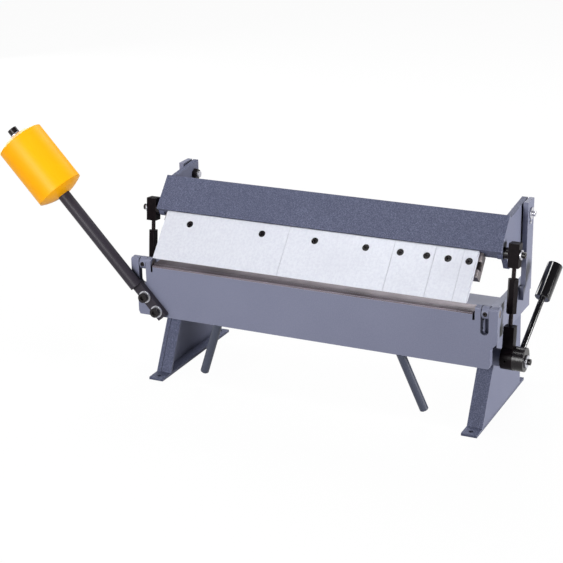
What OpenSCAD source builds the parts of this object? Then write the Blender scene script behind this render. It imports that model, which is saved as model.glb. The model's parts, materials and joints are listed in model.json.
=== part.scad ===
/* [Overall] */
// Half the width over the outer faces of the legs
half_w = 326; // [310:1:345]
// Height of the bend line and of the top of the edge bar
bend_z = 229; // [222:1:236]
// Radial clearance between a pin and its bore
run_fit = 0.05; // [0.03:0.01:0.08]
// Side clearance between flat faces that move past each other
side_gap = 0.6; // [0.4:0.1:1]

/* [Feet and legs] */
// Length of each foot plate, front to back
foot_len = 275; // [265:1:300]
// Width of each foot plate
foot_w = 29; // [26:1:32]
// Thickness of each foot plate
foot_t = 5; // [4:0.5:7]
// Diameter of the bolt holes in the feet
foot_hole_d = 9; // [7:0.5:11]
// Distance from a foot's end to the centre of its bolt hole
foot_inset = 12.7; // [10:0.1:15]
// Thickness of each leg's side plate
leg_t = 8; // [6:0.5:9]
// Thickness of the plate that stiffens a leg's front edge
rib_t = 6; // [4:0.5:8]
// Height where each leg's slope ends, under the bed
leg_bend_z = 133; // [128:1:138]

/* [Side plates and posts] */
// Thickness of each side plate
side_t = 12.7; // [11:0.1:13.5]
// Length of each side plate, front to back
side_len = 242; // [236:1:248]
// Height of the side plates' lower edge
side_low_z = 163; // [158:1:168]
// Height of the side plates' top edge
side_top_z = 223; // [219:1:224]
// Thickness of each rear post
post_t = 9; // [7:0.5:11]
// Width of each rear post, front to back
post_w = 35; // [32:1:40]
// Height of each post above the rear pivot
post_rise = 24; // [20:1:28]
// Distance from the bend line back to the rear pivots
pivot_back = 187.3; // [186:0.1:189]
// Height of the rear pivots above the bend line
pivot_up = 122.5; // [121:0.1:124]
// Diameter of the rear pivot bolts
pivot_d = 12; // [10:0.5:14]

/* [Bed] */
// Depth of the bed, front to back
bed_depth = 91.7; // [85:0.1:96]
// Thickness of the bed's top plate
bed_t = 14; // [12:0.5:18]
// Height of the web under the bed's front
web_h = 74; // [64:1:76]
// Thickness of the web under the bed's front
web_t = 12; // [9:0.5:14]
// Depth of the hard edge bar on the front of the bed
edge_bar_d = 26; // [20:1:32]

/* [Apron] */
// Height of the apron's lower edge
apron_low_z = 130; // [127:1:140]
// Thickness of the apron
apron_t = 11.7; // [10:0.1:12]
// Height of the steel strip along the apron's top
strip_h = 3; // [2:0.5:4]
// Diameter of the hinge pins
hinge_d = 14; // [11:0.5:15]
// Depth of the hinge lugs, front to back
lug_depth = 23.4; // [22:0.1:23.8]
// Height of the lugs above the bend line
lug_rise = 10.7; // [10:0.1:11.5]
// Width of each inner hinge lug
lug_w = 10.4; // [9.4:0.1:11]
// Gap between a side plate and the hinge lugs beside it
lug_gap = 1; // [0.6:0.1:1.4]
// How far the apron reaches past the legs' outer faces
apron_over = 29.5; // [27:0.5:34]

/* [Bending handles] */
// Diameter of the bending handles
rod_d = 16; // [12:0.5:18]
// Distance from the middle to each handle's root
rod_x = 180; // [120:1:230]
// Outward run of each handle from root to tip
rod_splay = 40; // [0:1:60]
// Height of the handles' tips above the ground
rod_tip_z = 24; // [20:1:50]

/* [Counterweight] */
// Diameter of the counterweight arm
arm_d = 24; // [20:0.5:25]
// Angle of the arm above the horizontal
arm_angle = 47.4; // [44:0.2:50]
// Distance from the arm's lower end to the weight
arm_len = 305; // [295:1:315]
// Length of the arm's milled foot
arm_foot = 78; // [70:1:82]
// Thickness of the arm's milled foot
arm_foot_t = 12; // [10:0.5:14]
// Diameter of the counterweight
weight_d = 92.5; // [85:0.5:98]
// Length of the counterweight
weight_len = 120; // [100:1:126]
// Height of the domes on the counterweight's ends
weight_dome = 12; // [8:1:16]

/* [Clamping leaf] */
// Slope of the fingers and the clamp beam
face_angle = 48.9; // [48.3:0.1:49.5]
// Height of the finger noses above the bend line
nose_lift = 12.6; // [12.5:0.1:12.9]
// Distance of the finger noses behind the apron's face
nose_back = 6.5; // [6:0.1:7]
// Length of the fingers up the slope
finger_len = 97.5; // [95:0.1:97.8]
// Thickness of the fingers
finger_t = 8; // [7:0.5:8]
// Room left between the fingers and the legs' outer faces, at each end
finger_room = 21.2; // [20:0.1:26]
// Gap between neighbouring fingers
finger_gap = 0.4; // [0.3:0.1:0.8]
// Distance from the noses up to the finger screws
screw_up = 76.3; // [75.5:0.1:76.8]
// Diameter of the finger screws' heads
head_d = 13; // [11:0.5:14]
// Height of the clamp beam's front leg along the slope
beam_h = 70; // [64:1:76]
// Thickness of the clamp beam's legs
beam_t = 9; // [8:0.5:10]
// Depth of the clamp beam's rear leg
beam_flange = 25; // [22:1:34]
// Thickness of the cheeks
cheek_t = 10.5; // [9:0.1:10.8]

/* [Clamp links] */
// Width of the square link blocks
block_w = 19; // [18:0.5:20]
// Height of the upper link blocks
block_h = 43; // [38:1:46]
// Diameter of the pins that carry the link blocks
link_pin_d = 10; // [8:0.5:11]
// Diameter of the threaded studs
stud_d = 8; // [6:0.5:9]
// Length of the hexagonal turnbuckles
turn_len = 61; // [54:1:66]
// Width across the corners of the turnbuckles
turn_d = 18.5; // [16:0.5:19]
// Diameter of the round end of each link
big_d = 43; // [40:0.5:45]

/* [Clamp shaft] */
// Diameter of the clamp shaft
shaft_d = 20; // [17:0.5:21]
// Wall thickness of the shaft's bearing tubes
bearing_wall = 5.5; // [4.5:0.1:6]
// Throw of the eccentrics
throw = 4.2; // [4.1:0.1:4.3]
// Thickness of the handle's hub
hub_w = 20; // [16:0.5:22]
// Diameter of the lever
lever_d = 10.5; // [9:0.5:12]
// Length of the lever from the shaft to the grip
lever_len = 120; // [100:1:130]
// Rearward lean of the lever
lever_back = 45; // [35:1:55]
// Outward lean of the lever
lever_out = 6.5; // [3:0.5:9]
// Diameter of the grip
grip_d = 28; // [22:0.5:30]
// Length of the grip
grip_len = 69; // [60:1:84]

/* [Hidden] */
$fn = 48;

paint = [0.50, 0.52, 0.62];
steel = [0.80, 0.80, 0.84];
bar_steel = [0.45, 0.41, 0.40];
black = [0.15, 0.13, 0.14];
zinc = [0.86, 0.86, 0.88];
yellow = [1.00, 0.72, 0.02];

// overrun of every cut
over = 2;

// stations of the apron's face, hinge, bed and pivots
foot_front = 5;
face_y = foot_front - foot_len / 2;
hinge_in = 12;
hinge_y = face_y + hinge_in;
apron_half = half_w + apron_over;
bed_gap = 0.3;
bed_front_y = hinge_y + bed_gap;
web_back_y = bed_front_y + web_t;
side_back_y = face_y + side_len;
side_out = half_w + side_t;
pivot_y = hinge_y + pivot_back;
pivot_z = bend_z + pivot_up;
bed_low_z = side_top_z - bed_t;
web_low_z = bed_low_z - web_h;

// widths of the hinge lugs and the slots beside them
lug_high = half_w - lug_gap;
lug_low = lug_high - lug_w;
slot_out = side_out + lug_gap;
notch_w = 4;
strip_half = lug_low - notch_w;
notch_h = 13;
slot_h = 38;
notch_z = bend_z - notch_h;
slot_z = bend_z - slot_h;
nose_r = hinge_in - bed_gap;
lug_r = lug_depth - hinge_in;
lug_chamfer = 2.5;
lug_sweep = norm([hinge_in, lug_rise]) + side_gap;

// the sloping plane of the fingers: a runs up it, p runs behind it
nose_y = face_y + nose_back;
nose_z = bend_z + nose_lift;
face_c = cos(face_angle);
face_s = sin(face_angle);
function plane_at(a, p) = [nose_y + a * face_c + p * face_s, nose_z + a * face_s - p * face_c];

// link pins, clamp shaft and eccentrics
end_clear = 1;
link_back = 77;
link_up = 82;
shaft_back = 59.9;
shaft_drop = 104.9;
link_y = hinge_y + link_back;
link_z = bend_z + link_up;
shaft_y = hinge_y + shaft_back;
shaft_z = bend_z - shaft_drop;
throw_angle = 65;
crank_y = shaft_y - throw * cos(throw_angle);
crank_z = shaft_z + throw * sin(throw_angle);
link_run = norm([link_y - crank_y, link_z - crank_z]);
link_lean = atan2(link_y - crank_y, link_z - crank_z);
bearing_d = shaft_d + 2 * (run_fit + bearing_wall);
link_stand = 19;
bearing_low = half_w - foot_w;
bearing_high = half_w + link_stand - end_clear;

// stations across the machine, outboard of the side plates
cheek_inset = 0.8;
end_extra = 1.5;
cheek_low = half_w - cheek_inset;
cheek_high = cheek_low + cheek_t;
post_high = side_out + post_t;
link_low = half_w + link_stand;
link_high = link_low + block_w;
end_high = link_high + end_extra;

// runs the children's outline, drawn in Y and Z, from one X to another
module across(x_low, x_high) {
    translate([x_low, 0, 0])
        rotate([90, 0, 90])
            linear_extrude(x_high - x_low) children();
}

// runs the children's outline, drawn in X and Z, back from one Y
module facing(y_front, depth) {
    translate([0, y_front + depth, 0])
        rotate([90, 0, 0])
            linear_extrude(depth) children();
}

// a round bar along X
module bar_x(x_low, x_high, y, z, d) {
    translate([x_low, y, z])
        rotate([0, 90, 0])
            cylinder(h = x_high - x_low, d = d);
}

// a slab square to the sloping plane
module slab(x_low, x_high, a_low, a_high, p_low, p_high) {
    across(x_low, x_high)
        polygon([
            plane_at(a_low, p_low), plane_at(a_high, p_low),
            plane_at(a_high, p_high), plane_at(a_low, p_high)
        ]);
}

// places children at a point of the sloping plane, with their Z running behind it
module into_plane(x, a, p) {
    spot = plane_at(a, p);
    translate([x, spot[0], spot[1]])
        rotate([face_angle - 180, 0, 0]) children();
}

module flip() {
    mirror([1, 0, 0]) children();
}

leg_set_in = 29.5;
leg_set_back = 26;
leg_front_y = leg_set_in - foot_len / 2;
leg_run = 67.6;
leg_top_front_y = leg_front_y + leg_run;
leg_rear_y = foot_len / 2 - leg_set_back;
leg_lean = 9;
leg_knee = [32, 57];
rib_set = 1.7;

module leg() {
    color(paint)
        difference() {
            union() {
                translate([half_w - foot_w, -foot_len / 2, 0])
                    cube([foot_w, foot_len, foot_t]);
                across(half_w - leg_t, half_w)
                    polygon([
                        [leg_front_y, foot_t], [leg_top_front_y, leg_bend_z],
                        [leg_top_front_y, leg_bend_z + leg_knee[0]],
                        [web_back_y, leg_bend_z + leg_knee[1]],
                        [web_back_y, bed_low_z], [leg_rear_y - leg_lean, bed_low_z],
                        [leg_rear_y - leg_lean, leg_bend_z], [leg_rear_y, foot_t]
                    ]);
                across(half_w - foot_w, half_w - leg_t)
                    polygon([
                        [leg_front_y + rib_set, foot_t],
                        [leg_top_front_y + rib_set, leg_bend_z],
                        [leg_top_front_y + rib_set, bed_low_z],
                        [leg_top_front_y + rib_set + rib_t, bed_low_z],
                        [leg_top_front_y + rib_set + rib_t, leg_bend_z],
                        [leg_front_y + rib_set + rib_t, foot_t]
                    ]);
            }
            bar_x(bearing_low - over, bearing_high, shaft_y, shaft_z, bearing_d);
            for (end = [-1, 1])
                translate([half_w - foot_w / 2, end * (foot_len / 2 - foot_inset), -over])
                    cylinder(h = foot_t + 2 * over, d = foot_hole_d);
        }
}

module leg_right() {
    leg();
}

module leg_left() {
    flip() leg();
}

side_neck = 13;
side_front_y = hinge_y + side_neck;
neck_h = 11;
screw_d = 8;
screw_out = 0.5;

module side_plate() {
    color(paint)
        difference() {
            union() {
                across(half_w, side_out)
                    polygon([
                        [side_front_y, side_low_z], [side_front_y, side_top_z - neck_h / 2],
                        [hinge_y, side_top_z - neck_h / 2], [hinge_y, side_top_z],
                        [side_back_y, side_top_z], [side_back_y, side_low_z]
                    ]);
                bar_x(half_w, side_out, hinge_y, bend_z, 2 * nose_r);
            }
            bar_x(half_w - over, side_out + over, hinge_y, bend_z, hinge_d + 2 * run_fit);
            translate([half_w + side_t / 2, hinge_y, bend_z])
                rotate([90, 0, 0])
                    cylinder(h = hinge_in + over, d = screw_d + 2 * run_fit);
        }
}

module side_plate_right() {
    side_plate();
}

module side_plate_left() {
    flip() side_plate();
}

toe_run = 10;
toe_h = 24;
toe_drop = 8;
post_drop = 18;
post_low_z = side_top_z - post_drop;

module post() {
    color(paint)
        difference() {
            across(side_out, post_high)
                polygon([
                    [pivot_y - post_w / 2, post_low_z + toe_h - toe_drop],
                    [pivot_y - post_w / 2 - toe_run, post_low_z + toe_h - toe_drop],
                    [pivot_y - post_w / 2 - toe_run, post_low_z - toe_drop],
                    [pivot_y - post_w / 2, post_low_z - toe_drop],
                    [pivot_y - post_w / 2, post_low_z], [pivot_y + post_w / 2, post_low_z],
                    [pivot_y + post_w / 2, pivot_z + post_rise],
                    [pivot_y - post_w / 2, pivot_z + post_rise]
                ]);
            bar_x(side_out - over, post_high + over, pivot_y, pivot_z, pivot_d + 2 * run_fit);
        }
}

module post_right() {
    post();
}

module post_left() {
    flip() post();
}

module bed() {
    color(paint)
        difference() {
            union() {
                translate([-half_w, bed_front_y, bed_low_z])
                    cube([2 * half_w, bed_depth, bed_t]);
                translate([-half_w, bed_front_y, web_low_z])
                    cube([2 * half_w, web_t, web_h]);
            }
            for (side = [-1, 1])
                scale([side, 1, 1])
                    bar_x(lug_low - side_gap, half_w + over, hinge_y, bend_z, 2 * lug_sweep);
        }
}

module edge_bar() {
    color(bar_steel)
        translate([side_gap - lug_low, bed_front_y, side_top_z])
            cube([2 * (lug_low - side_gap), edge_bar_d, bend_z - side_top_z]);
}

pin_reach = 16.2;

module hinge_pin() {
    color(steel)
        bar_x(lug_low + side_gap, side_out + pin_reach, hinge_y, bend_z, hinge_d);
}

module hinge_pin_right() {
    hinge_pin();
}

module hinge_pin_left() {
    flip() hinge_pin();
}

key_share = 0.55;
key_deep = 3;

module hinge_screw() {
    color(black)
        difference() {
            translate([half_w + side_t / 2, hinge_y, bend_z])
                rotate([90, 0, 0])
                    difference() {
                        cylinder(h = hinge_in + screw_out, d = screw_d);
                        translate([0, 0, hinge_in + screw_out - key_deep])
                            cylinder(h = key_deep + over, d = screw_d * key_share, $fn = 6);
                    }
            bar_x(half_w - over, side_out + over, hinge_y, bend_z, hinge_d + 2 * run_fit);
        }
}

module hinge_screw_right() {
    hinge_screw();
}

module hinge_screw_left() {
    flip() hinge_screw();
}

washer_t = 2.5;
washer_d = 22;
nut_t = 8;
nut_d = 21;
bolt_tail = 4;
dome_h = 6;

module pivot_bolt() {
    color(zinc) {
        bar_x(cheek_low - side_gap - nut_t - bolt_tail, post_high, pivot_y, pivot_z, pivot_d);
        bar_x(cheek_high + side_gap, side_out, pivot_y, pivot_z, washer_d);
        bar_x(post_high, post_high + washer_t, pivot_y, pivot_z, washer_d);
        bar_x(post_high + washer_t, post_high + washer_t + dome_h, pivot_y, pivot_z, pivot_d - over);
    }
}

module pivot_bolt_right() {
    pivot_bolt();
}

module pivot_bolt_left() {
    flip() pivot_bolt();
}

module pivot_nut() {
    color(black)
        difference() {
            translate([cheek_low - side_gap - nut_t, pivot_y, pivot_z])
                rotate([0, 90, 0])
                    cylinder(h = nut_t, d = nut_d, $fn = 6);
            bar_x(bearing_low, cheek_low, pivot_y, pivot_z, pivot_d + 2 * run_fit);
        }
}

module pivot_nut_right() {
    pivot_nut();
}

module pivot_nut_left() {
    flip() pivot_nut();
}

module shaft_bearing() {
    color(paint)
        difference() {
            bar_x(bearing_low, bearing_high, shaft_y, shaft_z, bearing_d);
            bar_x(bearing_low - over, bearing_high + over, shaft_y, shaft_z, shaft_d + 2 * run_fit);
        }
}

module shaft_bearing_right() {
    shaft_bearing();
}

module shaft_bearing_left() {
    flip() shaft_bearing();
}

// stations of the apron's outline
apron_step_h = 36;
apron_wide_h = 48;
apron_step_z = apron_low_z + apron_step_h;
apron_wide_z = apron_low_z + apron_wide_h;
apron_corner = 6;
apron_inset = 11.5;
low_inset = 14.5;
strip_z = bend_z - strip_h;
lug_top_z = bend_z + lug_rise;
slot_mid = (lug_high + slot_out) / 2;
slot_w = slot_out - lug_high;
arm_bolt_d = 12;
arm_foot_w = 20;
arm_bolt_low = 15.7;
arm_bolt_pitch = 35;
arm_in = 67.5;
arm_up = 3;
arm_dir = [-cos(arm_angle), sin(arm_angle)];

function arm_at(s) = [arm_in - apron_half + s * arm_dir[0], apron_low_z + arm_up + s * arm_dir[1]];

module apron_half() {
    polygon([
        [0, apron_low_z], [apron_half - low_inset, apron_low_z],
        [apron_half - apron_inset, apron_low_z + apron_corner],
        [apron_half - apron_inset, apron_step_z], [apron_half, apron_wide_z],
        [apron_half, strip_z], [slot_out, strip_z], [slot_out, slot_z + slot_w / 2],
        [lug_high, slot_z + slot_w / 2], [lug_high, strip_z], [lug_low, strip_z],
        [lug_low, notch_z], [strip_half, notch_z], [strip_half, strip_z], [0, strip_z]
    ]);
}

module lug(x_low, x_high) {
    across(x_low, x_high)
        polygon([
            [face_y, notch_z], [face_y, lug_top_z - lug_chamfer],
            [face_y + lug_chamfer, lug_top_z], [hinge_y, lug_top_z], [hinge_y, notch_z]
        ]);
    bar_x(x_low, x_high, hinge_y, bend_z, 2 * lug_r);
}

module apron() {
    color(paint)
        difference() {
            union() {
                for (side = [-1, 1])
                    scale([side, 1, 1]) {
                        facing(face_y, apron_t) apron_half();
                        lug(lug_low, lug_high);
                        lug(slot_out, apron_half);
                    }
            }
            for (side = [-1, 1])
                scale([side, 1, 1])
                    bar_x(lug_low - over, apron_half + over, hinge_y, bend_z,
                        hinge_d + 2 * run_fit);
            for (side = [-1, 1])
                translate([side * slot_mid, face_y - over, slot_z + slot_w / 2])
                    rotate([-90, 0, 0])
                        cylinder(h = apron_t + 2 * over, d = slot_w);
            for (step = [0, 1]) {
                spot = arm_at(arm_bolt_low + step * arm_bolt_pitch);
                translate([spot[0], face_y - over, spot[1]])
                    rotate([-90, 0, 0])
                        cylinder(h = apron_t + 2 * over, d = arm_bolt_d + 2 * run_fit);
            }
        }
}

module apron_strip() {
    color(bar_steel)
        translate([-strip_half, face_y, strip_z])
            cube([2 * strip_half, apron_t, strip_h]);
}

rod_chamfer = 1.5;
rod_y = face_y + apron_t / 2;
rod_back = 15;
rod_drop = apron_low_z - rod_tip_z;
rod_run = norm([rod_splay, rod_back, rod_drop]);

module bending_handle() {
    color(paint)
        difference() {
            translate([rod_x, rod_y, apron_low_z])
                rotate([0, 0, atan2(rod_back, rod_splay)])
                    rotate([0, 180 - atan2(norm([rod_splay, rod_back]), rod_drop), 0])
                        translate([0, 0, -rod_d]) {
                            cylinder(h = rod_run + rod_d - rod_chamfer, d = rod_d);
                            translate([0, 0, rod_run + rod_d - rod_chamfer])
                                cylinder(h = rod_chamfer, d1 = rod_d, d2 = rod_d - 2 * rod_chamfer);
                        }
            translate([0, face_y - rod_d, apron_low_z])
                cube([half_w, 3 * rod_d, 3 * rod_d]);
        }
}

module bending_handle_right() {
    bending_handle();
}

module bending_handle_left() {
    flip() bending_handle();
}

arm_clear = 0.3;
arm_y = face_y - arm_d / 2 - arm_clear;
arm_tenon = 30;
tenon_d = 12;

// the counterweight's domes, each with a flat seat at its middle
dome_r = (weight_d * weight_d / 4 + weight_dome * weight_dome) / (2 * weight_dome);
dome_turn = asin(weight_d / 2 / dome_r);
seat_turn = asin(arm_d / 2 / dome_r);
dome_rise = dome_r * (cos(seat_turn) - cos(dome_turn));
dome_steps = 8;
arm_end = arm_len - dome_rise;

function dome_angle(i) = seat_turn + (dome_turn - seat_turn) * i / dome_steps;

function dome_height(i) = dome_r * (cos(dome_angle(i)) - cos(dome_turn));

// places children at a distance up the arm, with their Z running along it
module along_arm(s) {
    spot = arm_at(s);
    translate([spot[0], arm_y, spot[1]])
        rotate([0, arm_angle - 90, 0]) children();
}

module weight_arm() {
    color(black)
        difference() {
            union() {
                along_arm(0)
                    translate([-arm_foot_w / 2, face_y - arm_foot_t - arm_y, 0])
                        cube([arm_foot_w, arm_foot_t, arm_foot]);
                along_arm(arm_foot - over) cylinder(h = arm_end - arm_foot + over, d = arm_d);
            }
            for (step = [0, 1]) {
                spot = arm_at(arm_bolt_low + step * arm_bolt_pitch);
                translate([spot[0], face_y - arm_d - over, spot[1]])
                    rotate([-90, 0, 0])
                        cylinder(h = arm_d + 2 * over, d = arm_bolt_d + 2 * run_fit);
            }
            along_arm(arm_end - arm_tenon)
                cylinder(h = arm_tenon + over, d = tenon_d + 2 * run_fit);
        }
}

arm_front_y = face_y - arm_foot_t;
arm_washer_d = 23;
arm_washer_t = 2.5;
arm_head_d = 18;
arm_head_h = 8;
bolt_short = 1;
arm_grip = apron_t - bolt_short + arm_foot_t + arm_washer_t;

module arm_bolts() {
    color(black)
        for (step = [0, 1]) {
            spot = arm_at(arm_bolt_low + step * arm_bolt_pitch);
            translate([spot[0], face_y + apron_t - bolt_short, spot[1]])
                rotate([90, 0, 0])
                    difference() {
                        union() {
                            cylinder(h = arm_grip, d = arm_bolt_d);
                            translate([0, 0, arm_grip]) cylinder(h = arm_head_h, d = arm_head_d);
                        }
                        translate([0, 0, arm_grip + arm_head_h - key_deep])
                            cylinder(h = key_deep + over, d = arm_head_d * key_share, $fn = 6);
                    }
        }
}

module arm_washers() {
    color(zinc)
        for (step = [0, 1]) {
            spot = arm_at(arm_bolt_low + step * arm_bolt_pitch);
            translate([spot[0], arm_front_y, spot[1]])
                rotate([90, 0, 0])
                    difference() {
                        cylinder(h = arm_washer_t, d = arm_washer_d);
                        translate([0, 0, -over])
                            cylinder(h = arm_washer_t + 2 * over, d = arm_bolt_d + 2 * run_fit);
                    }
        }
}

module counterweight() {
    color(yellow)
        along_arm(arm_len)
            difference() {
                rotate_extrude()
                    polygon(concat(
                        [[0, -dome_rise]],
                        [for (i = [0:dome_steps]) [dome_r * sin(dome_angle(i)), -dome_height(i)]],
                        [for (i = [dome_steps:-1:0])
                            [dome_r * sin(dome_angle(i)), weight_len + dome_height(i)]],
                        [[0, weight_len + dome_rise]]
                    ));
                translate([0, 0, -dome_rise - over])
                    cylinder(h = weight_len + 2 * (dome_rise + over), d = tenon_d + 2 * run_fit);
            }
}

weight_washer_d = 24;
weight_head_d = 18;
weight_head_h = 12;
bolt_run = arm_tenon - over + weight_len + 2 * dome_rise + washer_t;

module weight_washer() {
    color(zinc)
        along_arm(arm_len + weight_len + dome_rise)
            difference() {
                cylinder(h = washer_t, d = weight_washer_d);
                translate([0, 0, -over])
                    cylinder(h = washer_t + 2 * over, d = tenon_d + 2 * run_fit);
            }
}

module weight_bolt() {
    color(black)
        along_arm(arm_end - arm_tenon + over)
            difference() {
                union() {
                    cylinder(h = bolt_run, d = tenon_d);
                    translate([0, 0, bolt_run]) cylinder(h = weight_head_h, d = weight_head_d);
                }
                translate([0, 0, bolt_run + weight_head_h - key_deep])
                    cylinder(h = key_deep + over, d = weight_head_d * key_share, $fn = 6);
            }
}

// stations on the sloping plane
beam_front_p = -4;
seat_gap = 0.5;
bar_above = 5;
saddle_below = 24.3;
beam_low_a = finger_len + seat_gap;
beam_top_a = beam_low_a + beam_h;
beam_back_p = beam_front_p + beam_t;
flange_half = cheek_low;
beam_half = cheek_high;
bar_thick = 12;
bar_back_p = finger_t + bar_thick;
bar_low_a = screw_up + bar_above;
saddle_t = 9;
saddle_low_a = screw_up - saddle_below;
saddle_heel = 14;
saddle_lip = 0.5;
finger_screw_d = 8;

module clamp_beam() {
    color(paint)
        across(-flange_half, flange_half)
            polygon([
                plane_at(beam_low_a, beam_front_p), plane_at(beam_top_a, beam_front_p),
                plane_at(beam_top_a, beam_back_p), plane_at(beam_low_a + beam_t, beam_back_p),
                plane_at(beam_low_a + beam_t, beam_flange), plane_at(beam_low_a, beam_flange)
            ]);
    color(paint)
        for (side = [-1, 1])
            scale([side, 1, 1])
                slab(flange_half, beam_half, beam_low_a, beam_top_a, beam_front_p, beam_back_p);
}

boss_r = 12;
cheek_rear = 18;
cheek_rise = 23.5;
cheek_drop = 50;
cheek_knee = 64;
cheek_sole = 80;

module cheek() {
    color(paint)
        difference() {
            union() {
                across(cheek_low, cheek_high)
                    polygon([
                        plane_at(beam_low_a + beam_t / 2, beam_back_p),
                        plane_at(beam_top_a, beam_back_p),
                        [pivot_y + cheek_rear, pivot_z + cheek_rise],
                        [pivot_y + cheek_rear, pivot_z - cheek_drop],
                        [pivot_y - cheek_knee, pivot_z - cheek_sole],
                        [pivot_y - cheek_sole, pivot_z - cheek_sole],
                        [link_y + boss_r * face_s, link_z - boss_r * face_c]
                    ]);
                bar_x(cheek_low, cheek_high, link_y, link_z, 2 * boss_r);
            }
            slab(0, beam_half + over, -over, beam_top_a + boss_r, -boss_r, beam_back_p);
            bar_x(cheek_low - over, cheek_high + over, link_y, link_z, link_pin_d + 2 * run_fit);
            bar_x(cheek_low - over, cheek_high + over, pivot_y, pivot_z, pivot_d + 2 * run_fit);
        }
}

module cheek_right() {
    cheek();
}

module cheek_left() {
    flip() cheek();
}

// fingers from the left, in inches of width, and the screws along each
finger_inches = [10, 8, 3, 2, 1];
finger_shift = -8.5;
inch = (half_w - finger_room) / 12;
bar_over = 6;
screw_spots = [[0.212, 0.798], [0.263, 0.748], [0.178, 0.822], [0.5], [0.5]];
nose_relief = 7;
head_h = 4.4;
head_sunk = 5;

function inches_before(i) = i == 0 ? 0 : finger_inches[i - 1] + inches_before(i - 1);

function finger_low(i) = finger_shift - inches_before(5) * inch / 2 + inches_before(i) * inch;

function finger_w(i) = finger_inches[i] * inch - finger_gap;

module screw_holes(i, d) {
    for (share = screw_spots[i])
        into_plane(finger_low(i) + share * finger_w(i), screw_up, -over)
            cylinder(h = bar_back_p + saddle_t + 2 * over, d = d);
}

module finger_bar() {
    color(steel)
        slab(finger_low(0) - bar_over, finger_low(4) + finger_w(4) + bar_over,
            bar_low_a, beam_low_a, finger_t, bar_back_p);
}

module finger(i) {
    color(steel)
        difference() {
            across(finger_low(i), finger_low(i) + finger_w(i))
                polygon([
                    plane_at(0, 0), plane_at(finger_len, 0),
                    plane_at(finger_len, finger_t), plane_at(nose_relief, finger_t)
                ]);
            screw_holes(i, finger_screw_d + 2 * run_fit);
            for (share = screw_spots[i])
                into_plane(finger_low(i) + share * finger_w(i), screw_up, -over)
                    cylinder(h = head_sunk + over, d = head_d + 2 * run_fit);
        }
}

module finger_1() {
    finger(0);
}

module finger_2() {
    finger(1);
}

module finger_3() {
    finger(2);
}

module finger_4() {
    finger(3);
}

module finger_5() {
    finger(4);
}

module saddle(i, beyond = 0) {
    color(steel)
        difference() {
            across(finger_low(i) + saddle_lip, finger_low(i) + finger_w(i) - saddle_lip + beyond)
                polygon([
                    plane_at(saddle_low_a, finger_t),
                    plane_at(saddle_low_a + saddle_heel, finger_t),
                    plane_at(saddle_low_a + saddle_heel, bar_back_p),
                    plane_at(beam_low_a - saddle_lip, bar_back_p),
                    plane_at(beam_low_a - saddle_lip, bar_back_p + saddle_t),
                    plane_at(saddle_low_a, bar_back_p + saddle_t)
                ]);
            screw_holes(i, finger_screw_d + 2 * run_fit);
        }
}

module saddle_1() {
    saddle(0);
}

module saddle_2() {
    saddle(1);
}

module saddle_3() {
    saddle(2);
}

module saddle_4() {
    saddle(3);
}

module saddle_5() {
    saddle(4, bar_over);
}

module finger_screws() {
    color(black)
        for (i = [0:4])
            for (share = screw_spots[i])
                into_plane(finger_low(i) + share * finger_w(i), screw_up, head_sunk - head_h)
                    difference() {
                        union() {
                            cylinder(h = head_h, d = head_d);
                            cylinder(
                                h = bar_back_p + saddle_t - head_sunk + head_h,
                                d = finger_screw_d
                            );
                        }
                        translate([0, 0, -over])
                            cylinder(h = key_deep + over, d = head_d * key_share, $fn = 6);
                    }
}

sleeve_d = 20;
link_washer_d = 17;
link_head_d = 11;
link_head_h = 7;

module link_bolt() {
    color(black)
        difference() {
            union() {
                bar_x(cheek_low, link_high + side_gap, link_y, link_z, link_pin_d);
                bar_x(cheek_high, link_low - side_gap, link_y, link_z, sleeve_d);
                bar_x(link_high + side_gap, link_high + side_gap + washer_t,
                    link_y, link_z, link_washer_d);
                bar_x(link_high + side_gap + washer_t, link_high + washer_t + link_head_h,
                    link_y, link_z, link_head_d);
            }
            translate([link_high + washer_t + link_head_h - key_deep, link_y, link_z])
                rotate([0, 90, 0])
                    cylinder(h = key_deep + over, d = link_head_d * key_share, $fn = 6);
        }
}

module link_bolt_right() {
    link_bolt();
}

module link_bolt_left() {
    flip() link_bolt();
}

// places children at a distance down the link from its pin, with their Z running down it
module down_link(s) {
    translate([link_low + block_w / 2, link_y, link_z])
        rotate([180 - link_lean, 0, 0])
            translate([0, 0, s]) children();
}

block_head = 20;
stud_high = 20.5;
stud_low = 23;
block_tail = block_h - block_head;
turn_start = block_tail + stud_high;
end_start = turn_start + turn_len + stud_low;

module link_block() {
    color(bar_steel)
        difference() {
            down_link(-block_head)
                translate([-block_w / 2, -block_w / 2, 0])
                    cube([block_w, block_w, block_h]);
            bar_x(link_low - over, link_high + over, link_y, link_z, link_pin_d + 2 * run_fit);
        }
}

module link_block_right() {
    link_block();
}

module link_block_left() {
    flip() link_block();
}

module link_stud() {
    color(steel)
        down_link(block_tail) cylinder(h = end_start - block_tail, d = stud_d);
}

module link_stud_right() {
    link_stud();
}

module link_stud_left() {
    flip() link_stud();
}

module turnbuckle() {
    color(bar_steel)
        down_link(turn_start)
            difference() {
                cylinder(h = turn_len, d = turn_d, $fn = 6);
                translate([0, 0, -over])
                    cylinder(h = turn_len + 2 * over, d = stud_d + 2 * run_fit);
            }
}

module turnbuckle_right() {
    turnbuckle();
}

module turnbuckle_left() {
    flip() turnbuckle();
}

// the link's round end has its bore set to the middle of the eccentric's wander
wander = 0.9;
wander_at = [-0.69, 0.23];
disc_d = 34;
oil_d = 5;
oil_deep = 3;

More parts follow.
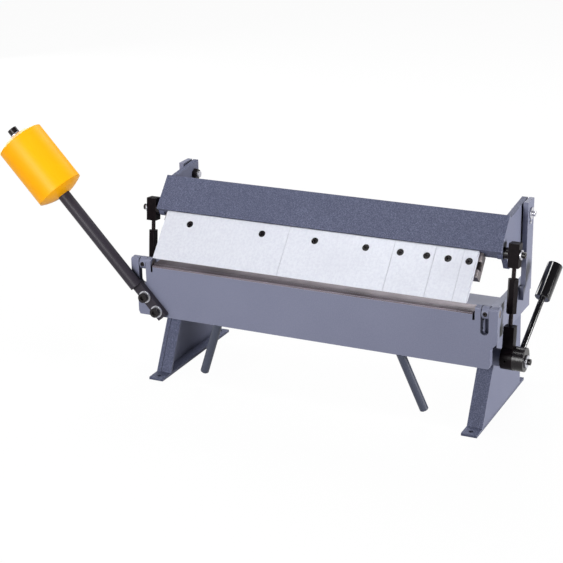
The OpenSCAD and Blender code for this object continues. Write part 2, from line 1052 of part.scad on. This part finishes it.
module link_end() {
    color(bar_steel)
        difference() {
            union() {
                down_link(end_start)
                    translate([-block_w / 2, -block_w / 2, 0])
                        cube([block_w, block_w, link_run - end_start]);
                bar_x(link_low, end_high, crank_y, crank_z, big_d);
            }
            bar_x(link_low - over, end_high + over, crank_y + wander_at[0],
                crank_z + wander_at[1], disc_d + 2 * wander);
            translate([(link_low + end_high) / 2, crank_y - big_d / 2 - over, crank_z])
                rotate([-90, 0, 0])
                    cylinder(h = oil_deep + over, d = oil_d);
        }
}

module link_end_right() {
    link_end();
}

module link_end_left() {
    flip() link_end();
}

hub_high = end_high + side_gap + hub_w;
collar_w = 8;
shaft_short = 0.5;

module clamp_shaft() {
    color(steel)
        bar_x(shaft_short - end_high - side_gap - collar_w, hub_high - shaft_short,
            shaft_y, shaft_z, shaft_d);
}

module eccentric_right() {
    color(black)
        difference() {
            union() {
                bar_x(link_low, end_high + side_gap, crank_y, crank_z, disc_d);
                bar_x(end_high + side_gap, hub_high, crank_y, crank_z, big_d);
            }
            bar_x(link_low - over, hub_high + over, shaft_y, shaft_z, shaft_d + 2 * run_fit);
        }
}

module eccentric_left() {
    color(black)
        flip()
            difference() {
                union() {
                    bar_x(link_low, end_high + side_gap, crank_y, crank_z, disc_d);
                    bar_x(end_high + side_gap, end_high + side_gap + collar_w,
                        crank_y, crank_z, big_d - over);
                }
                bar_x(link_low - over, end_high + side_gap + collar_w + over,
                    shaft_y, shaft_z, shaft_d + 2 * run_fit);
            }
}

end_washer_d = 22.5;
end_head_d = 11;
end_head_h = 6;

module end_bolt(x) {
    color(black)
        difference() {
            union() {
                bar_x(x, x + washer_t, shaft_y, shaft_z, end_washer_d);
                bar_x(x + washer_t, x + washer_t + end_head_h, shaft_y, shaft_z, end_head_d);
            }
            translate([x + washer_t + end_head_h - key_deep, shaft_y, shaft_z])
                rotate([0, 90, 0])
                    cylinder(h = key_deep + over, d = end_head_d * key_share, $fn = 6);
        }
}

module end_bolt_right() {
    end_bolt(hub_high);
}

module end_bolt_left() {
    flip() end_bolt(end_high + side_gap + collar_w);
}

lever_in = 13;

// places children at a distance up the lever, with their Z running along it
module up_lever(s) {
    translate([hub_high - lever_in, crank_y, crank_z])
        rotate([-lever_back, 0, 0])
            rotate([0, lever_out, 0])
                translate([0, 0, s]) children();
}

lever_sunk = 3;
lever_root = big_d / 2 - lever_sunk;

module lever() {
    color(black)
        difference() {
            up_lever(lever_root) cylinder(h = lever_len + grip_len / 2 - lever_root, d = lever_d);
            bar_x(end_high + side_gap, hub_high, crank_y, crank_z, big_d);
        }
}

grip_round = 1.5;
grip_edge = 1;

module grip() {
    color(black)
        difference() {
            up_lever(lever_len)
                rotate_extrude()
                    polygon(concat(
                        [[0, 0], [grip_d / 2 - grip_edge, 0], [grip_d / 2, grip_edge]],
                        [for (t = [0:30:90])
                            [grip_d / 2 - grip_round + grip_round * cos(t),
                                grip_len - grip_round + grip_round * sin(t)]],
                        [[0, grip_len]]
                    ));
            up_lever(lever_len - over)
                cylinder(h = grip_len / 2 + over, d = lever_d + 2 * run_fit);
        }
}

leg_right();
leg_left();
side_plate_right();
side_plate_left();
post_right();
post_left();
bed();
edge_bar();
hinge_pin_right();
hinge_pin_left();
hinge_screw_right();
hinge_screw_left();
pivot_bolt_right();
pivot_bolt_left();
pivot_nut_right();
pivot_nut_left();
shaft_bearing_right();
shaft_bearing_left();
apron();
apron_strip();
bending_handle_right();
bending_handle_left();
weight_arm();
arm_bolts();
arm_washers();
counterweight();
weight_washer();
weight_bolt();
clamp_beam();
cheek_right();
cheek_left();
finger_bar();
finger_1();
finger_2();
finger_3();
finger_4();
finger_5();
saddle_1();
saddle_2();
saddle_3();
saddle_4();
saddle_5();
finger_screws();
link_bolt_right();
link_bolt_left();
link_block_right();
link_block_left();
link_stud_right();
link_stud_left();
turnbuckle_right();
turnbuckle_left();
link_end_right();
link_end_left();
clamp_shaft();
eccentric_right();
eccentric_left();
end_bolt_right();
end_bolt_left();
lever();
grip();
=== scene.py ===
import json
import math

import bmesh
import bpy
from mathutils import Matrix, Vector


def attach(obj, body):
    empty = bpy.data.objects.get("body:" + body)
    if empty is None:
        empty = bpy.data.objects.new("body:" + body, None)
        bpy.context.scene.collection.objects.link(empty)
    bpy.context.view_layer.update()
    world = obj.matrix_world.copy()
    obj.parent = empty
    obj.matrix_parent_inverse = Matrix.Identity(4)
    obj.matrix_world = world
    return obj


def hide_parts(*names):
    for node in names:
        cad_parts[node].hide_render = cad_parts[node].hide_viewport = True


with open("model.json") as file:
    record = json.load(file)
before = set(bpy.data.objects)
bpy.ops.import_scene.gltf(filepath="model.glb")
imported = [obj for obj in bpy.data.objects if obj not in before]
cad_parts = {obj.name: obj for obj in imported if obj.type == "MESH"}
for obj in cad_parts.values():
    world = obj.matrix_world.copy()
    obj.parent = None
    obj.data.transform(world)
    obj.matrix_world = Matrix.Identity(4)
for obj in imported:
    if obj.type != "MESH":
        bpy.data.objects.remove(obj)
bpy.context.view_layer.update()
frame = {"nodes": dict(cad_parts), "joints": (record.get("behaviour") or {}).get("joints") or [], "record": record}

nodes = frame["nodes"]
scene = bpy.context.scene
MM = 0.001
SIDES = ((1, "right"), (-1, "left"))
EVEN = (1.0, 1.0, 1.0)

# sockets of the Mix node when it mixes colours
MIX_FIRST = 6
MIX_SECOND = 7
MIX_RESULT = 2

# how far the looks round an edge and colour it as worn, and how far the painted corner shade reaches out of a
# corner
ROUND_EDGE = 0.8 * MM
WORN_WIDTH = 1.2 * MM
CORNER_SHADE_REACH = 22.0 * MM

# the true normal against the rounded one: where an edge's colour starts and where it is full
EDGE_MASK_STARTS = 0.99
EDGE_MASK_FULL = 0.86

COAT_ROUGH = 0.12
BEVEL_SAMPLES = 4
CORNER_SHADE_SAMPLES = 8


def add_node(tree, kind, inputs=None, **props):
    """A shader node whose inputs take values or other nodes' outputs."""
    made = tree.nodes.new(kind)
    for key, value in props.items():
        setattr(made, key, value)
    for key, value in (inputs or {}).items():
        if isinstance(value, bpy.types.NodeSocket):
            tree.links.new(value, made.inputs[key])
        else:
            made.inputs[key].default_value = value
    return made


def linear(r, g, b):
    """A colour from its 8-bit screen values."""
    out = []
    for value in (r, g, b):
        c = value / 255.0
        out.append(c / 12.92 if c <= 0.04045 else ((c + 0.055) / 1.055) ** 2.4)
    return tuple(out)


# materials

class Graph:
    """Short names for building a material's nodes."""

    def __init__(self, name, colour, rough, metal=0.0, coat=0.0, specular=0.5):
        self.mat = bpy.data.materials.new(name)
        self.mat.use_nodes = True
        self.tree = self.mat.node_tree
        self.bsdf = self.tree.nodes["Principled BSDF"]
        self.bump = None
        values = {
            "Base Color": (*colour, 1.0), "Roughness": rough, "Metallic": metal,
            "Coat Weight": coat, "Coat Roughness": COAT_ROUGH, "Specular IOR Level": specular,
        }
        for socket, value in values.items():
            self.bsdf.inputs[socket].default_value = value

    def node(self, kind, inputs=None, **props):
        return add_node(self.tree, kind, inputs, **props)

    def place(self, stretch=EVEN):
        """Object coordinates, which stay with the piece when it moves."""
        coord = self.node("ShaderNodeTexCoord").outputs["Object"]
        return self.node(
            "ShaderNodeMapping", {"Vector": coord, "Scale": stretch}).outputs["Vector"]

    def noise(self, scale, detail=3.0, rough=0.5, stretch=EVEN):
        """Cloudy noise from 0 to 1. A stretch over 1 packs it closer along that axis."""
        return self.node("ShaderNodeTexNoise", {
            "Vector": self.place(stretch), "Scale": scale, "Detail": detail,
            "Roughness": rough,
        }).outputs["Fac"]

    def cells(self, scale):
        """Distance to the nearest of many scattered points, for dimples."""
        return self.node("ShaderNodeTexVoronoi", {
            "Vector": self.place(), "Scale": scale, "Randomness": 1.0,
        }, feature="SMOOTH_F1").outputs["Distance"]

    def spread(self, value, low, high, to_low, to_high):
        """The value's range from low to high, laid over another range and held inside it."""
        return self.node("ShaderNodeMapRange", {
            "Value": value, "From Min": low, "From Max": high,
            "To Min": to_low, "To Max": to_high,
        }).outputs["Result"]

    def mix(self, factor, first, second):
        """One colour turning into another as the factor goes from 0 to 1."""
        first, second = (
            colour if isinstance(colour, bpy.types.NodeSocket) else (*colour, 1.0)
            for colour in (first, second))
        return self.node("ShaderNodeMix", {
            "Factor": factor, MIX_FIRST: first, MIX_SECOND: second,
        }, data_type="RGBA").outputs[MIX_RESULT]

    def rounded(self, radius):
        """The normal with its edges rounded off."""
        return self.node(
            "ShaderNodeBevel", {"Radius": radius}, samples=BEVEL_SAMPLES).outputs["Normal"]

    def sharp_edge_mask(self, amount, radius=WORN_WIDTH):
        """The amount on sharp edges, 0 on flats."""
        geometry = self.node("ShaderNodeNewGeometry")
        dot = self.node("ShaderNodeVectorMath", {
            0: self.rounded(radius), 1: geometry.outputs["Normal"],
        }, operation="DOT_PRODUCT").outputs["Value"]
        return self.spread(dot, EDGE_MASK_STARTS, EDGE_MASK_FULL, 0.0, amount)

    def facing_sideways(self, amount):
        """The amount on faces that look along X, 0 on the others."""
        normal = self.node("ShaderNodeTexCoord").outputs["Normal"]
        parts = self.node("ShaderNodeSeparateXYZ", {"Vector": normal})
        size = self.node(
            "ShaderNodeMath", {0: parts.outputs["X"]}, operation="ABSOLUTE").outputs["Value"]
        return self.spread(size, 0.75, 0.95, 0.0, amount)

    def painted_corner_shade(self, colour, dark):
        """Painted shade: darkens the colour where surfaces close in on each other, in corners, slots and gaps."""
        open_air = self.node(
            "ShaderNodeAmbientOcclusion", {"Distance": CORNER_SHADE_REACH},
            samples=CORNER_SHADE_SAMPLES).outputs["AO"]
        return self.mix(self.spread(open_air, 0.25, 0.7, 0.9, 0.0), colour, dark)

    def height(self, value, distance, strength, round_edge=ROUND_EDGE):
        """Adds a layer of relief. The first layer lies on rounded edges."""
        inputs = {"Height": value, "Distance": distance, "Strength": strength}
        if self.bump is not None:
            inputs["Normal"] = self.bump
        elif round_edge > 0.0:
            inputs["Normal"] = self.rounded(round_edge)
        self.bump = self.node("ShaderNodeBump", inputs).outputs["Normal"]

    def finish(self, colour, rough):
        """Ties the colour, the roughness and the relief to the surface."""
        for value, socket in ((colour, "Base Color"), (rough, "Roughness"), (self.bump, "Normal")):
            self.tree.links.new(value, self.bsdf.inputs[socket])
        return self.mat


def hammer_paint():
    """Dark blue-grey hammered enamel with fine flecks, plainer and paler on faces along X, the paleness there
    being painted light.
    """
    base = linear(84, 88, 110)
    g = Graph("hammer_paint", base, 0.5, specular=0.08)
    dimple = g.spread(g.cells(520.0), 0.08, 0.62, 0.0, 1.0)
    fleck = g.noise(740.0, 2.0, 0.6)
    cloud = g.noise(9.0)
    light = g.mix(g.spread(dimple, 0.5, 1.0, 0.0, 0.4), base, linear(132, 137, 163))
    pale = g.mix(g.spread(fleck, 0.55, 0.68, 0.0, 0.6), light, linear(136, 141, 168))
    dark = g.mix(g.spread(fleck, 0.46, 0.34, 0.0, 0.5), pale, linear(58, 62, 83))
    tone = g.mix(g.spread(cloud, 0.3, 0.7, 0.0, 0.2), dark, linear(74, 78, 100))
    worn = g.mix(g.sharp_edge_mask(0.4), tone, linear(134, 138, 160))
    # faces along X get a plain, unflecked colour, made paler as painted light on the sides
    drift = g.spread(cloud, 0.3, 0.7, 0.0, 0.5)
    plain_lit_sides = g.mix(drift, linear(130, 133, 154), linear(121, 124, 145))
    colour = g.mix(g.facing_sideways(0.85), worn, plain_lit_sides)
    g.height(dimple, 0.12 * MM, 0.6)
    g.height(fleck, 0.06 * MM, 0.5)
    # painted shade darkens the hammer paint in corners, slots and gaps
    return g.finish(g.painted_corner_shade(colour, linear(24, 26, 38)), g.spread(cloud, 0.2, 0.8, 0.46, 0.56))


def smooth_paint(name, base, deep, pale):
    """Smooth grey-blue enamel with faint orange peel, slow tone drift and paler edges."""
    g = Graph(name, base, 0.44, specular=0.2)
    peel = g.noise(240.0, 2.0)
    cloud = g.noise(7.0)
    fine = g.noise(520.0, 2.0)
    tone = g.mix(g.spread(cloud, 0.3, 0.72, 0.0, 0.5), base, deep)
    grain = g.mix(g.spread(fine, 0.4, 0.7, 0.0, 0.16), tone, pale)
    edge = g.mix(g.sharp_edge_mask(0.65), grain, pale)
    g.height(peel, 0.1 * MM, 0.5)
    # painted shade darkens the smooth paint in corners, slots and gaps
    return g.finish(g.painted_corner_shade(edge, linear(22, 24, 34)), g.spread(cloud, 0.2, 0.8, 0.38, 0.48))


def ground_steel():
    """Surface-ground fingers: bright, with fine grinding lines, mottling and faint stains."""
    base = linear(222, 225, 234)
    g = Graph("ground_steel", base, 0.46, metal=0.15)
    lines = g.noise(46.0, 4.0, 0.7, (1.0, 50.0, 50.0))
    mottle = g.noise(210.0, 3.0, 0.6)
    cross = g.noise(360.0, 3.0, 0.65, (1.0, 0.12, 0.12))
    cloud = g.noise(12.0, 4.0)
    tone = g.mix(g.spread(lines, 0.35, 0.7, 0.0, 0.35), base, linear(208, 210, 221))
    spots = g.mix(g.spread(mottle, 0.4, 0.62, 0.0, 0.55), tone, linear(205, 207, 220))
    grain = g.mix(g.spread(cross, 0.42, 0.75, 0.0, 0.3), spots, linear(233, 235, 243))
    stain = g.mix(g.spread(cloud, 0.48, 0.75, 0.0, 0.22), grain, linear(194, 195, 207))
    edge = g.mix(g.sharp_edge_mask(0.5, 0.4 * MM), stain, linear(120, 116, 122))
    g.height(lines, 0.04 * MM, 0.5, 0.4 * MM)
    return g.finish(edge, g.spread(cloud, 0.2, 0.8, 0.4, 0.54))


def machined(name, base, dark, rough, metal, stretch, edge_wear_and_highlight, relief=0.05 * MM, drift=0.0):
    """Machined or sawn steel with cutter marks along it, oil stains and rubbed edges; on edge_steel the rubbed
    edge is also a painted highlight, and the drift bands are a painted dark reflection.
    """
    g = Graph(name, base, rough, metal=metal)
    marks = g.noise(90.0, 4.0, 0.65, stretch)
    cloud = g.noise(35.0, 5.0, 0.6)
    colour = g.mix(g.spread(marks, 0.3, 0.7, 0.0, 0.7), base, dark)
    colour = g.mix(g.spread(cloud, 0.45, 0.75, 0.0, 0.6), colour, dark)
    # drift paints slow dark bands that stand for a dark reflection
    if drift > 0.0:
        painted_reflection_bands = g.spread(g.noise(5.0, 2.0), 0.44, 0.58, 0.0, drift)
        colour = g.mix(painted_reflection_bands, colour, linear(58, 46, 50))
    # the edge colour is wear, and on edge_steel also a painted highlight along the rim
    edge = g.mix(g.sharp_edge_mask(1.0, 0.7 * MM), colour, edge_wear_and_highlight)
    g.height(marks, relief, 0.6)
    return g.finish(edge, g.spread(cloud, 0.2, 0.8, rough - 0.07, rough + 0.12))


def oxide(name, base, sheen, rough, specular):
    """Blackened steel: near black, mottled brown, with thin brighter edges."""
    g = Graph(name, base, rough, specular=specular)
    mottle = g.noise(160.0, 5.0, 0.65)
    cloud = g.noise(40.0)
    tone = g.mix(g.spread(mottle, 0.4, 0.75, 0.0, 0.6), base, sheen)
    shade = g.mix(g.spread(cloud, 0.35, 0.7, 0.0, 0.5), tone, linear(20, 15, 18))
    edge = g.mix(g.sharp_edge_mask(0.45, 0.6 * MM), shade, linear(104, 92, 94))
    g.height(mottle, 0.04 * MM, 0.6)
    return g.finish(edge, g.spread(mottle, 0.2, 0.8, rough - 0.08, rough + 0.12))


def enamel(name, base, deep, pale, rough, coat, specular):
    """Sprayed enamel or moulded plastic with a faint orange peel and tone drift."""
    g = Graph(name, base, rough, coat=coat, specular=specular)
    peel = g.noise(320.0, 2.0)
    cloud = g.noise(12.0)
    tone = g.mix(g.spread(cloud, 0.3, 0.75, 0.0, 0.45), base, deep)
    edge = g.mix(g.sharp_edge_mask(0.6, 1.0 * MM), tone, pale)
    # what has a clear coat is round and keeps its own normals, for straight reflections
    g.height(peel, 0.03 * MM, 0.5, 0.0 if coat > 0.0 else ROUND_EDGE)
    return g.finish(edge, g.spread(cloud, 0.2, 0.8, rough - 0.04, rough + 0.06))


looks = {
    "hammer_paint": hammer_paint(),
    "smooth_paint": smooth_paint(
        "smooth_paint", linear(124, 127, 149), linear(114, 117, 139), linear(164, 167, 186)),
    "rod_paint": smooth_paint(
        "rod_paint", linear(74, 78, 92), linear(64, 68, 82), linear(104, 110, 124)),
    "ground_steel": ground_steel(),
    "bare_steel": machined(
        "bare_steel", linear(158, 150, 150), linear(100, 90, 90), 0.36, 0.7,
        (1.0, 8.0, 8.0), linear(206, 200, 198)),
    # edge steel: its pale lilac rim is wear and a painted highlight; its drift paints slow dark bands as a
    # reflection
    "edge_steel": machined(
        "edge_steel", linear(136, 125, 134), linear(96, 86, 93), 0.4, 0.25,
        (0.4, 12.0, 12.0), linear(204, 202, 220), drift=0.8),
    "link_steel": oxide("link_steel", linear(13, 8, 11), linear(30, 20, 24), 0.34, 0.06),
    "black_oxide": oxide("black_oxide", linear(15, 11, 14), linear(34, 26, 30), 0.26, 0.3),
    "black_gloss": enamel(
        "black_gloss", linear(20, 18, 22), linear(14, 12, 15), linear(60, 56, 64), 0.1, 0.7, 0.4),
    "zinc_plate": machined(
        "zinc_plate", linear(206, 206, 213), linear(168, 168, 177), 0.32, 0.7,
        EVEN, linear(244, 244, 248), 0.01 * MM),
    "yellow_paint": enamel(
        "yellow_paint", linear(255, 178, 0), linear(252, 162, 0), linear(255, 194, 20),
        0.42, 0.0, 0.2),
    "arm_paint": enamel(
        "arm_paint", linear(54, 50, 58), linear(42, 38, 46), linear(90, 86, 96), 0.42, 0.0, 0.2),
    "grip_plastic": enamel(
        "grip_plastic", linear(16, 15, 18), linear(10, 9, 11), linear(44, 44, 50), 0.08, 0.8, 0.4),
}
for part in frame["record"]["subparts"]:
    nodes[part["node"]].data.materials[0] = looks[part["material_slot"]]


# shapes of the added pieces

def add_piece(name, shape, body, slot, stands_for=()):
    """A new mesh that shape(bm) makes, riding on a body and painted as a slot."""
    bm = bmesh.new()
    shape(bm)
    bmesh.ops.recalc_face_normals(bm, faces=bm.faces)
    mesh = bpy.data.meshes.new(name)
    bm.to_mesh(mesh)
    bm.free()
    for face in mesh.polygons:
        face.use_smooth = True
    mesh.set_sharp_from_angle(angle=math.radians(35.0))
    obj = bpy.data.objects.new(name, mesh)
    scene.collection.objects.link(obj)
    mesh.materials.append(looks[slot])
    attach(obj, body)
    if stands_for:
        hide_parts(*stands_for)


def round_z(radius, angle, height):
    """A point at a radius and an angle round the Z axis."""
    return Vector((radius * math.cos(angle), radius * math.sin(angle), height))


def turned(bm, at, profile, steps=40):
    """Revolves (radius, height) points round the Z axis of the frame at."""
    rings = []
    for radius, height in profile:
        count = steps if radius > 0.0 else 1
        rings.append([
            bm.verts.new(at @ round_z(radius, 2 * math.pi * k / steps, height))
            for k in range(count)
        ])
    for low, high in zip(rings, rings[1:]):
        for k in range(steps):
            after = (k + 1) % steps
            corners = [low[k % len(low)], low[after % len(low)],
                       high[after % len(high)], high[k % len(high)]]
            corners = list(dict.fromkeys(corners))
            if len(corners) > 2:
                bm.faces.new(corners)


def flat_washer(bm, at, inner, outer, thick, chamfer):
    """A flat washer whose outer edges and upper inner edge are chamfered."""
    turned(bm, at, [
        (inner, 0.0), (outer - chamfer, 0.0), (outer, chamfer), (outer, thick - chamfer),
        (outer - chamfer, thick), (inner + chamfer, thick), (inner, thick - chamfer),
        (inner, 0.0)])


def socket_screw(bm, at, radius, head, key):
    """A round screw head with a chamfered rim and a round key hole."""
    socket = radius * 0.5
    mouth = radius * 0.58
    rim = radius * 0.86
    chamfer = radius * 0.16
    lead = 0.2 * MM
    turned(bm, at, [
        (0.0, head - key), (socket, head - key), (socket, head - lead), (mouth, head),
        (rim, head), (radius, head - chamfer), (radius, 0.0), (0.0, 0.0)])


def thread(bm, at, start, end, core, crest, pitch, steps=20):
    """A threaded rod: a core with a spiral ridge that fades in and out over two turns."""
    crest_from = 0.42 * pitch
    crest_to = 0.58 * pitch
    fade = 2 * steps
    bar = core * 1.01
    count = int((end - start) / pitch * steps)
    rows = []
    for k in range(count + 1):
        angle = 2 * math.pi * k / steps
        base = start + (end - start - pitch) * k / count
        top = core + (crest - core) * min(1.0, k / fade, (count - k) / fade)
        rows.append([
            bm.verts.new(at @ round_z(radius, angle, base + rise))
            for radius, rise in ((core, 0.0), (top, crest_from), (top, crest_to), (core, pitch))
        ])
    for first, second in zip(rows, rows[1:]):
        for j in range(3):
            bm.faces.new((first[j], first[j + 1], second[j + 1], second[j]))
    turned(bm, at, [(0.0, start), (bar, start), (bar, end), (0.0, end)], steps)


# the pins' places come from the frame's joints
joint_at = {joint["name"]: joint["pos_m"] for joint in frame["joints"]}
LINK_X, LINK_Y, LINK_Z = joint_at["right_link_swing"]
_, SHAFT_Y, SHAFT_Z = joint_at["clamp_handle"]
_, PIVOT_Y, PIVOT_Z = joint_at["leaf_tilt"]

# sizes repeated from the model
LEG_OUT = 326.0 * MM
SIDE_PLATE = 12.7 * MM
POST = 9.0 * MM
POST_OUT = LEG_OUT + SIDE_PLATE + POST
SIDE_GAP = 0.6 * MM
BLOCK_WIDTH = 19.0 * MM
LINK_OUT = LINK_X + BLOCK_WIDTH / 2
END_EXTRA = 1.5 * MM
END_OUT = LINK_OUT + END_EXTRA
# the handle's hub on the right and a plain collar on the left
COLLAR = {"right": 20.0 * MM, "left": 8.0 * MM}
# the link's pin stands above a crank pin that sits off the shaft's centre
THROW = 4.2 * MM
THROW_ANGLE = math.radians(65.0)
CRANK_Y = SHAFT_Y - THROW * math.cos(THROW_ANGLE)
CRANK_Z = SHAFT_Z + THROW * math.sin(THROW_ANGLE)
LINK_LEAN = math.atan2(LINK_Y - CRANK_Y, LINK_Z - CRANK_Z)

# lengths along a link, from its pin down to where its round end starts
BLOCK_TAIL = 23.0 * MM
STUD_HIGH = 20.5 * MM
TURNBUCKLE = 61.0 * MM
STUD_LOW = 23.0 * MM
END_START = BLOCK_TAIL + STUD_HIGH + TURNBUCKLE + STUD_LOW

# sizes of the added pieces
CORE_R = 3.25 * MM
CREST_R = 3.95 * MM
PITCH = 1.5 * MM
WASHER_BORE = 5.2 * MM
WASHER_THICK = 2.75 * MM
WASHER_CHAMFER = 0.3 * MM
LINK_WASHER_R = 8.8 * MM
LINK_WASHER_SINK = 0.1 * MM
SHAFT_WASHER_R = 11.5 * MM
SHAFT_WASHER_LIFT = 0.02 * MM
SCREW_FORWARD = 4.0 * MM
SCREW_DROP = 15.5 * MM
SCREW_R = 3.4 * MM
SCREW_HEAD = 2.2 * MM
SCREW_KEY = 1.2 * MM


def outward(side, x, y, z):
    """A frame whose Z runs outward along X on one side of the machine."""
    turn = Matrix.Rotation(math.radians(90.0 * side), 4, "Y")
    return Matrix.Translation((side * x, y, z)) @ turn


def down_link(side):
    """A frame at a link's pin whose Z runs down the link."""
    turn = Matrix.Rotation(math.pi - LINK_LEAN, 4, "X")
    return Matrix.Translation((side * LINK_X, LINK_Y, LINK_Z)) @ turn


for side, word in SIDES:
    add_piece(
        f"threaded_stud_{word}",
        lambda bm: thread(bm, down_link(side), BLOCK_TAIL, END_START, CORE_R, CREST_R, PITCH),
        f"{word}_link", "link_steel", (f"link_stud_{word}",))
    # bright washers under the heads of the link and shaft bolts
    link_seat = outward(side, LINK_OUT + SIDE_GAP - LINK_WASHER_SINK, LINK_Y, LINK_Z)
    add_piece(
        f"link_washer_{word}",
        lambda bm: flat_washer(
            bm, link_seat, WASHER_BORE, LINK_WASHER_R, WASHER_THICK, WASHER_CHAMFER),
        "leaf", "zinc_plate")
    collar_out = END_OUT + SIDE_GAP + COLLAR[word]
    shaft_seat = outward(side, collar_out + SHAFT_WASHER_LIFT, SHAFT_Y, SHAFT_Z)
    add_piece(
        f"shaft_washer_{word}",
        lambda bm: flat_washer(
            bm, shaft_seat, WASHER_BORE, SHAFT_WASHER_R, WASHER_THICK, WASHER_CHAMFER),
        "clamp", "zinc_plate")

# the small retaining screw on each post's outer face, below the pivot's cap
for side, word in SIDES:
    screw_seat = outward(side, POST_OUT, PIVOT_Y - SCREW_FORWARD, PIVOT_Z - SCREW_DROP)
    add_piece(
        f"post_screw_{word}",
        lambda bm: socket_screw(bm, screw_seat, SCREW_R, SCREW_HEAD, SCREW_KEY),
        "frame", "zinc_plate")


# floor, light and camera

scene.view_settings.view_transform = "Standard"
FLOOR_HALF = 30.0
FLOOR_DULL = (0.22, 0.22, 0.225, 1.0)
FLOOR_SEEN = (0.95, 0.95, 0.95, 1.0)
FLOOR_GLOW_SHARE = 0.96


def seen_share(tree, share):
    """The share for rays from the camera, a reflection or a clear surface, else 0."""
    path = add_node(tree, "ShaderNodeLightPath").outputs
    total = path["Is Camera Ray"]
    for kind in ("Is Glossy Ray", "Is Transmission Ray"):
        total = add_node(
            tree, "ShaderNodeMath", {0: total, 1: path[kind]}, operation="MAXIMUM").outputs[0]
    return add_node(
        tree, "ShaderNodeMath", {0: total, 1: share}, operation="MULTIPLY").outputs[0]


def floor_material():
    """A floor that shows white with a faint shadow, and is dull where it lights the object."""
    mat = bpy.data.materials.new("floor")
    mat.use_nodes = True
    tree = mat.node_tree
    seen = add_node(tree, "ShaderNodeLightPath").outputs["Is Camera Ray"]
    tone = add_node(tree, "ShaderNodeMix", {
        "Factor": seen, MIX_FIRST: FLOOR_DULL, MIX_SECOND: FLOOR_SEEN,
    }, data_type="RGBA").outputs[MIX_RESULT]
    bsdf = tree.nodes["Principled BSDF"]
    tree.links.new(tone, bsdf.inputs["Base Color"])
    bsdf.inputs["Roughness"].default_value = 0.9
    bsdf.inputs["Specular IOR Level"].default_value = 0.1
    glow = add_node(
        tree, "ShaderNodeEmission", {"Color": (1.0, 1.0, 1.0, 1.0), "Strength": 1.0})
    blend = add_node(tree, "ShaderNodeMixShader", {
        0: seen_share(tree, FLOOR_GLOW_SHARE), 1: bsdf.outputs[0], 2: glow.outputs[0]})
    tree.links.new(blend.outputs[0], tree.nodes["Material Output"].inputs["Surface"])
    return mat


def make_floor():
    """A flat square on which the machine stands and casts its shadow."""
    corners = ((-1, -1), (1, -1), (1, 1), (-1, 1))
    bm = bmesh.new()
    bm.faces.new([bm.verts.new((x * FLOOR_HALF, y * FLOOR_HALF, 0.0)) for x, y in corners])
    mesh = bpy.data.meshes.new("floor")
    bm.to_mesh(mesh)
    bm.free()
    floor = bpy.data.objects.new("floor", mesh)
    scene.collection.objects.link(floor)
    mesh.materials.append(floor_material())


def make_world():
    """White for the camera, and a faint even light for everything else."""
    world = bpy.data.worlds.new("studio")
    scene.world = world
    world.use_nodes = True
    tree = world.node_tree
    tree.nodes.clear()
    light = add_node(
        tree, "ShaderNodeBackground", {"Color": (0.96, 0.97, 1.0, 1.0), "Strength": 0.08})
    white = add_node(
        tree, "ShaderNodeBackground", {"Color": (0.98, 0.98, 0.98, 1.0), "Strength": 1.0})
    seen = add_node(tree, "ShaderNodeLightPath").outputs["Is Camera Ray"]
    blend = add_node(
        tree, "ShaderNodeMixShader", {0: seen, 1: light.outputs[0], 2: white.outputs[0]})
    add_node(tree, "ShaderNodeOutputWorld", {"Surface": blend.outputs[0]})


def lamp(name, place, target, power, size):
    """A round lamp at a place, aimed at a target, with its power in watts."""
    data = bpy.data.lights.new(name, "AREA")
    data.energy = power
    data.shape = "DISK"
    data.size = size
    obj = bpy.data.objects.new(name, data)
    scene.collection.objects.link(obj)
    obj.location = place
    obj.rotation_euler = (Vector(target) - Vector(place)).to_track_quat("-Z", "Y").to_euler()


def camera_axes(azimuth, elevation, roll):
    """The camera's right, up and backward directions, from angles in degrees."""
    a, e, r = (math.radians(v) for v in (azimuth, elevation, roll))
    back = Vector((math.sin(a) * math.cos(e), -math.cos(a) * math.cos(e), math.sin(e)))
    level = (-back).cross(Vector((0.0, 0.0, 1.0))).normalized()
    upright = level.cross(-back)
    right = level * math.cos(r) + upright * math.sin(r)
    up = -level * math.sin(r) + upright * math.cos(r)
    return right, up, back


def make_camera(place, lens, azimuth, elevation, roll):
    """The photograph's camera, as it was fitted to the object."""
    data = bpy.data.cameras.new("camera")
    data.sensor_width = 36.0
    data.lens = lens
    data.clip_end = 100.0
    camera = bpy.data.objects.new("camera", data)
    scene.collection.objects.link(camera)
    matrix = Matrix(camera_axes(azimuth, elevation, roll)).transposed().to_4x4()
    matrix.translation = Vector(place)
    camera.matrix_world = matrix
    scene.camera = camera


make_floor()
make_world()
middle = (0.0, 0.0, 0.22)
# from the front, for the fingers and the apron
lamp("key", (-0.35, -2.8, 0.95), middle, 57.0, 1.2)
lamp("left", (-2.1, -2.1, 1.1), middle, 12.0, 1.2)
# the white stripe on the grip
lamp("top", (-0.35, -0.45, 1.81), (0.15, 0.0, 0.25), 9.0, 0.5)
# the machine's right side, behind the handle
lamp("side", (3.2, 0.05, 0.4), middle, 94.0, 1.0)
# from behind, for the top faces and the edge bar, and for views of the rear
lamp("back", (-0.5, 2.2, 2.3), middle, 58.0, 1.6)
lamp("back_left", (-2.6, 1.6, 0.8), middle, 46.0, 2.0)
make_camera(
    place=(1.078594, -2.468558, 1.174389), lens=99.09,
    azimuth=25.705, elevation=19.915, roll=-1.015)
